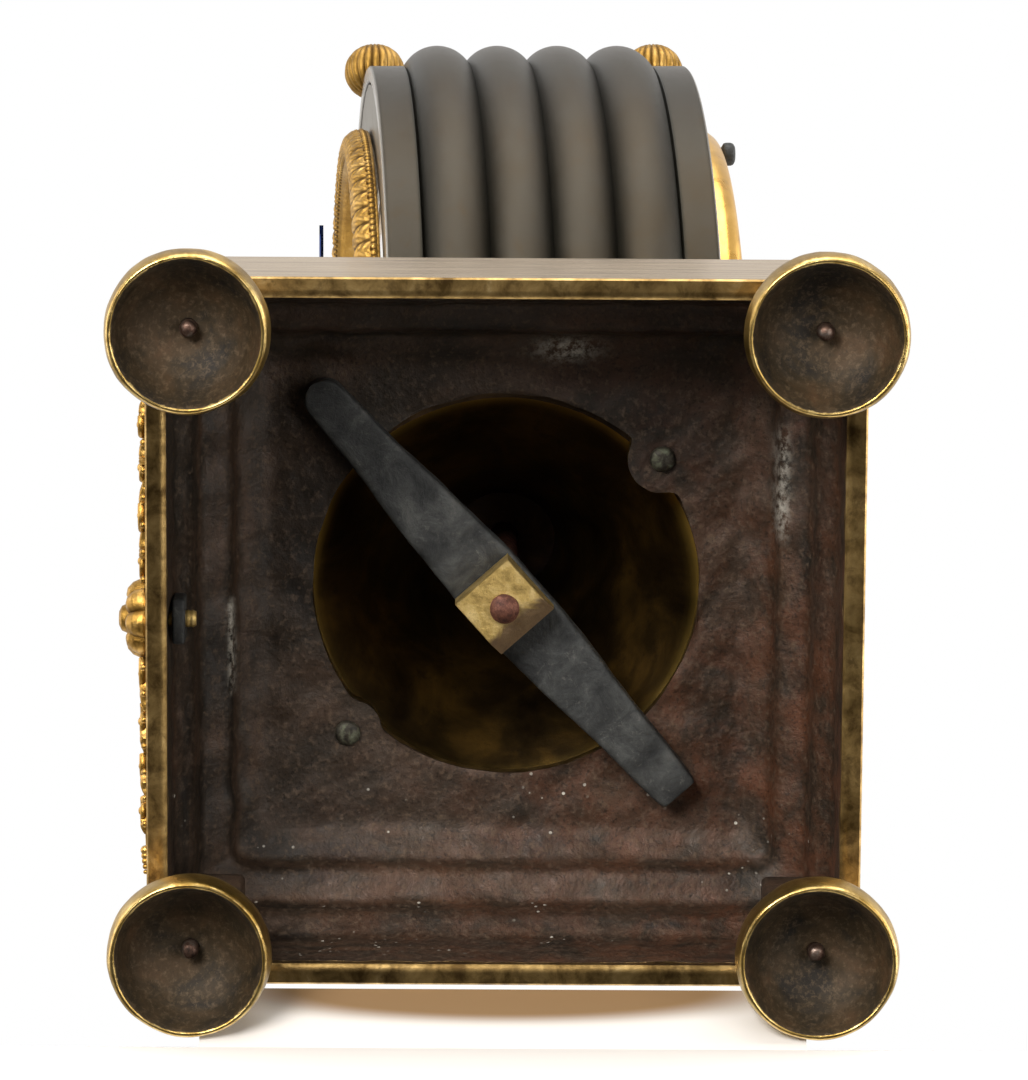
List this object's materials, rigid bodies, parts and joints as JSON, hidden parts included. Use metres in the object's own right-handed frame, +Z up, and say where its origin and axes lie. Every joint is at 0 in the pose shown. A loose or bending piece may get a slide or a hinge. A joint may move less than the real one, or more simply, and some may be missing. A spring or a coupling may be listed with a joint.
{
  "type": "pedestal mantel clock",
  "caption": "Mantel clock with a reeded drum head on a trumpet pedestal and a hollow square plinth with cup feet; hinged glazed bezel and hinged rear door.",
  "frame": {"origin": "on the ground plane, below the centre of the square plinth", "axes": "+Z up, the dial faces -Y, +X to the right of someone reading the dial"},
  "size_m": [0.1658, 0.132, 0.2841],
  "materials": {
    "bronze": "cast bronze with a dark brown patina",
    "drum_bronze": "turned bronze with a grey-brown patina, brushed",
    "gilt": "fire-gilt bronze, chased and satin",
    "brass": "aged lacquered brass",
    "iron": "forged iron with a dull dark skin",
    "steel": "dull steel, a little rusted",
    "blued_steel": "heat-blued steel",
    "enamel": "fired white enamel on copper"
  },
  "bodies": {
    "case": {"plinth": "bronze", "pedestal": "bronze", "cradle": "bronze", "drum_shell": "drum_bronze", "dial_seat": "drum_bronze", "rear_seat": "drum_bronze", "frieze_mount": "gilt", "shoulder_boss_front_left": "gilt", "shoulder_boss_rear_left": "gilt", "shoulder_boss_front_right": "gilt", "shoulder_boss_rear_right": "gilt", "foot_front_left": "brass", "foot_front_right": "brass", "foot_rear_left": "brass", "foot_rear_right": "brass", "frieze_stud": "brass", "clamp_nut": "brass", "bezel_hinge_leaf": "brass", "rear_door_hinge_leaf": "brass", "movement_front_plate": "brass", "movement_back_plate": "brass", "movement_pillar_1": "brass", "movement_pillar_2": "brass", "movement_pillar_3": "brass", "movement_pillar_4": "brass", "suspension_cock": "brass", "frieze_nut": "iron", "clamp_bar": "iron", "foot_pin_front_left": "steel", "foot_pin_front_right": "steel", "foot_pin_rear_left": "steel", "foot_pin_rear_right": "steel", "pedestal_rivet_1": "steel", "pedestal_rivet_2": "steel", "tie_rod": "steel", "drum_nut": "steel", "bezel_hinge_pin": "steel", "rear_door_hinge_pin": "steel", "click": "steel", "click_screw": "steel", "minute_wheel_stud": "steel", "dial": "enamel"},
    "bezel_cover": {"bezel": "gilt"},
    "rear_cover": {"rear_door": "gilt", "rear_door_knob": "steel"},
    "centre_arbor": {"centre_wheel": "brass", "cannon_pinion": "brass", "minute_hand": "blued_steel"},
    "hour_pipe": {"hour_wheel": "brass", "hour_hand": "blued_steel"},
    "minute_work": {"minute_wheel": "brass"},
    "barrel": {"spring_barrel": "brass"},
    "winding": {"winding_arbor": "steel"},
    "third_arbor": {"third_wheel": "brass"},
    "escape_arbor": {"escape_wheel": "brass"},
    "pallet_arbor": {"pallet_arbor": "steel"},
    "pendulum": {"pendulum": "brass"}
  },
  "joints": [
    {"name": "bezel_hinge", "type": "hinge", "parent": "case", "child": "bezel_cover", "pos_m": [-0.0726, -0.02952, 0.19759], "axis": [0, 0.0698, -0.9976], "range_deg": [0, 100]},
    {"name": "rear_door_hinge", "type": "hinge", "parent": "case", "child": "rear_cover", "pos_m": [-0.0726, 0.03952, 0.20241], "axis": [0, -0.0698, 0.9976], "range_deg": [0, 100]},
    {"name": "minute_hand_turn", "type": "hinge", "parent": "case", "child": "centre_arbor", "pos_m": [0, 0.005, 0.2], "axis": [0, 0.9976, 0.0698], "continuous": true},
    {"name": "hour_hand_turn", "type": "hinge", "parent": "case", "child": "hour_pipe", "pos_m": [0, 0.005, 0.2], "axis": [0, 0.9976, 0.0698], "continuous": true},
    {"name": "minute_wheel_turn", "type": "hinge", "parent": "case", "child": "minute_work", "pos_m": [0.0128, 0.005, 0.2], "axis": [0, 0.9976, 0.0698], "continuous": true},
    {"name": "barrel_turn", "type": "hinge", "parent": "case", "child": "barrel", "pos_m": [0, 0.00679, 0.17446], "axis": [0, 0.9976, 0.0698], "continuous": true},
    {"name": "winding_turn", "type": "hinge", "parent": "case", "child": "winding", "pos_m": [0, 0.00679, 0.17446], "axis": [0, 0.9976, 0.0698], "continuous": true},
    {"name": "third_wheel_turn", "type": "hinge", "parent": "case", "child": "third_arbor", "pos_m": [-0.01716, 0.004, 0.21436], "axis": [0, 0.9976, 0.0698], "continuous": true},
    {"name": "escape_wheel_turn", "type": "hinge", "parent": "case", "child": "escape_arbor", "pos_m": [0, 0.00313, 0.22678], "axis": [0, 0.9976, 0.0698], "continuous": true},
    {"name": "pendulum_swing", "type": "hinge", "parent": "case", "child": "pendulum", "pos_m": [0, 0.01703, 0.24294], "axis": [0, 0.9976, 0.0698], "range_deg": [-4.2, 4.2]},
    {"name": "pallet_rock", "type": "hinge", "parent": "case", "child": "pallet_arbor", "pos_m": [0, 0.00207, 0.2419], "axis": [0, 0.9976, 0.0698], "range_deg": [-4, 4]}
  ],
  "couplings": [
    {"joint": "hour_hand_turn", "follows": "minute_hand_turn", "ratio": 0.083333},
    {"joint": "minute_wheel_turn", "follows": "minute_hand_turn", "ratio": -0.33333},
    {"joint": "barrel_turn", "follows": "minute_hand_turn", "ratio": -0.18519},
    {"joint": "third_wheel_turn", "follows": "minute_hand_turn", "ratio": -6},
    {"joint": "escape_wheel_turn", "follows": "minute_hand_turn", "ratio": 33.75},
    {"joint": "pendulum_swing", "follows": "pallet_rock", "ratio": 1}
  ]
}
